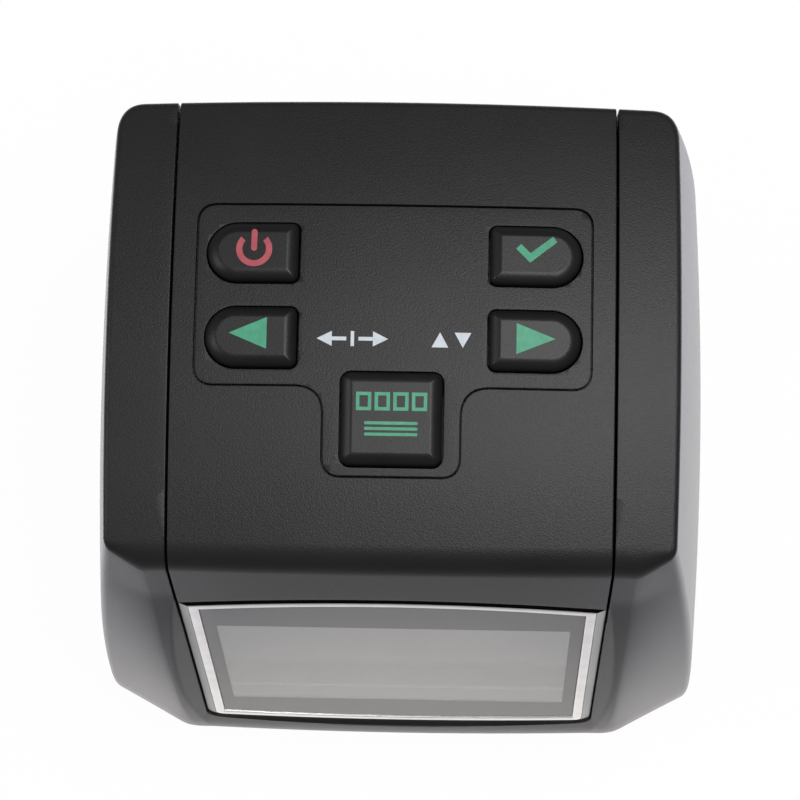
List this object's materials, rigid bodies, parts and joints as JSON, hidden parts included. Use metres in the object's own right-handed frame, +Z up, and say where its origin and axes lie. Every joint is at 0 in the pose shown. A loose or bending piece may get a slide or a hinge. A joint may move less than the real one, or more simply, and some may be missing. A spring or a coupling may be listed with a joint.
{
  "type": "film negative scanner",
  "caption": "Upright desktop film negative scanner with an arched top, five press keys, a leaning display on the front and a film slot from side to side.",
  "frame": {"origin": "middle of the underside's bounding box, on the surface that the four feet stand on", "axes": "+Z up, the display faces -Y, +X to the right of someone who looks at the display"},
  "size_m": [0.093, 0.0863, 0.1025],
  "materials": {
    "casing_black": "fine matte grain",
    "panel_black": "matte",
    "key_black": "matte moulded rubber with printed signs",
    "plunger_white": "matte",
    "switch_black": "matte",
    "board_green": "solder mask",
    "bezel_grey": "satin",
    "trim_silver": "silver, satin",
    "window_clear": "clear, glossy",
    "lcd_grey": "switched off",
    "backlight_grey": "matte",
    "inner_black": "matte",
    "foot_rubber": "matte",
    "steel": "plated",
    "inner_white": "matte",
    "led_yellow": "glossy",
    "lens_glass": "polished",
    "sensor_dark": "glossy"
  },
  "bodies": {
    "scanner": {"outer_casing": "casing_black", "top_cover": "casing_black", "key_panel": "panel_black", "power_switch": "switch_black", "ok_switch": "switch_black", "left_switch": "switch_black", "right_switch": "switch_black", "scan_switch": "switch_black", "key_board": "board_green", "display_bezel": "bezel_grey", "display_trim": "trim_silver", "display_window": "window_clear", "lcd_panel": "lcd_grey", "lcd_backlight": "backlight_grey", "base_plate": "inner_black", "light_box": "inner_white", "led_board": "inner_white", "backlight_led": "led_yellow", "diffuser": "inner_white", "lower_film_guide": "inner_black", "upper_film_guide": "inner_black", "lens_holder": "inner_black", "lens_barrel": "inner_black", "front_lens": "lens_glass", "rear_lens": "lens_glass", "sensor_board": "board_green", "image_sensor": "sensor_dark", "main_board": "board_green", "usb_socket": "steel", "av_jack": "inner_black", "card_socket": "steel", "foot_front_left": "foot_rubber", "base_screw_front_left": "steel", "foot_front_right": "foot_rubber", "base_screw_front_right": "steel", "foot_back_left": "foot_rubber", "base_screw_back_left": "steel", "foot_back_right": "foot_rubber", "base_screw_back_right": "steel"},
    "power_key": {"power_button": "key_black", "power_plunger": "plunger_white"},
    "ok_key": {"ok_button": "key_black", "ok_plunger": "plunger_white"},
    "left_key": {"left_button": "key_black", "left_plunger": "plunger_white"},
    "right_key": {"right_button": "key_black", "right_plunger": "plunger_white"},
    "scan_key": {"scan_button": "key_black", "scan_plunger": "plunger_white"}
  },
  "joints": [
    {"name": "power_key_press", "type": "slide", "parent": "scanner", "child": "power_key", "axis": [0, 0, -1], "range_m": [0, 0.0005], "stiffness_N_per_m": 2000},
    {"name": "ok_key_press", "type": "slide", "parent": "scanner", "child": "ok_key", "axis": [0, 0, -1], "range_m": [0, 0.0005], "stiffness_N_per_m": 2000},
    {"name": "left_key_press", "type": "slide", "parent": "scanner", "child": "left_key", "axis": [0, 0, -1], "range_m": [0, 0.0005], "stiffness_N_per_m": 2000},
    {"name": "right_key_press", "type": "slide", "parent": "scanner", "child": "right_key", "axis": [0, 0, -1], "range_m": [0, 0.0005], "stiffness_N_per_m": 2000},
    {"name": "scan_key_press", "type": "slide", "parent": "scanner", "child": "scan_key", "axis": [0, 0, -1], "range_m": [0, 0.0005], "stiffness_N_per_m": 2000}
  ]
}
